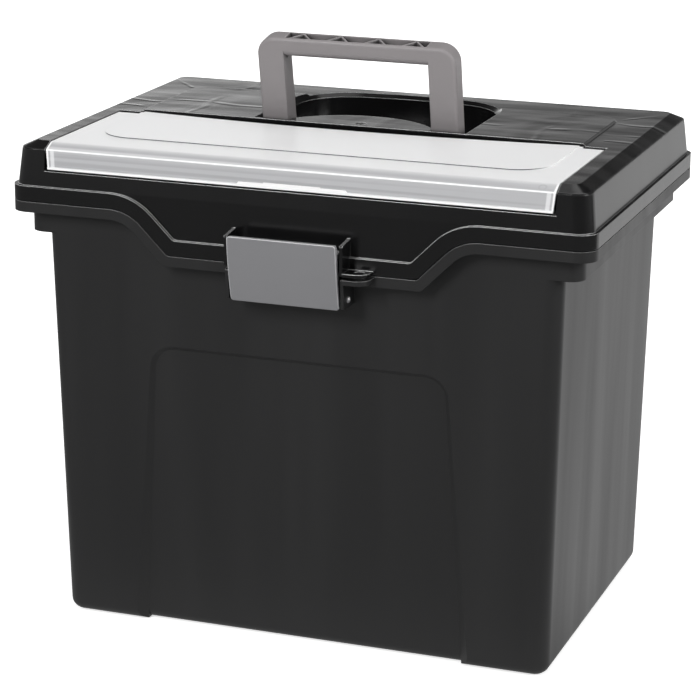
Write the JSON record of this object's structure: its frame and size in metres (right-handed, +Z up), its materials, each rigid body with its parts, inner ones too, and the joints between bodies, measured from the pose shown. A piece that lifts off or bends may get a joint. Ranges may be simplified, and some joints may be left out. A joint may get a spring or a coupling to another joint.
{
  "type": "portable file box",
  "caption": "Tapered file box with ledges for hanging files, hinged lid with a covered organizer compartment, folding carrying handle, and front latch with padlock eyes.",
  "frame": {"origin": "centre of the tub's underside, on the floor plane", "axes": "+X to the right seen from the front, -Y to the front with the latch, +Z up"},
  "size_m": [0.35, 0.2619, 0.3445],
  "materials": {
    "tub_plastic": "black moulded polypropylene, satin",
    "lid_plastic": "black moulded polypropylene, half gloss",
    "clear_plastic": "frosted clear polypropylene",
    "grey_plastic": "grey moulded plastic, satin",
    "pin_steel": "bright steel wire"
  },
  "bodies": {
    "base": {"base_tub": "tub_plastic", "latch_pin": "pin_steel", "hinge_pin_left": "pin_steel", "hinge_pin_right": "pin_steel"},
    "lid": {"lid_shell": "lid_plastic"},
    "handle": {"carrying_handle": "grey_plastic"},
    "cover": {"organizer_cover": "clear_plastic"},
    "latch": {"latch": "grey_plastic"}
  },
  "joints": [
    {"name": "lid_hinge", "type": "hinge", "parent": "base", "child": "lid", "pos_m": [0, 0.1243, 0.2567], "axis": [-1, 0, 0], "range_deg": [0, 110]},
    {"name": "latch_pivot", "type": "hinge", "parent": "base", "child": "latch", "pos_m": [0, -0.1205, 0.2177], "axis": [1, 0, 0], "range_deg": [0, 120]},
    {"name": "handle_fold", "type": "hinge", "parent": "lid", "child": "handle", "pos_m": [0, 0.0025, 0.2845], "axis": [-1, 0, 0], "range_deg": [0, 100.9]},
    {"name": "cover_hinge", "type": "hinge", "parent": "lid", "child": "cover", "pos_m": [0, -0.0145, 0.2866], "axis": [-1, 0, 0], "range_deg": [0, 80]}
  ]
}
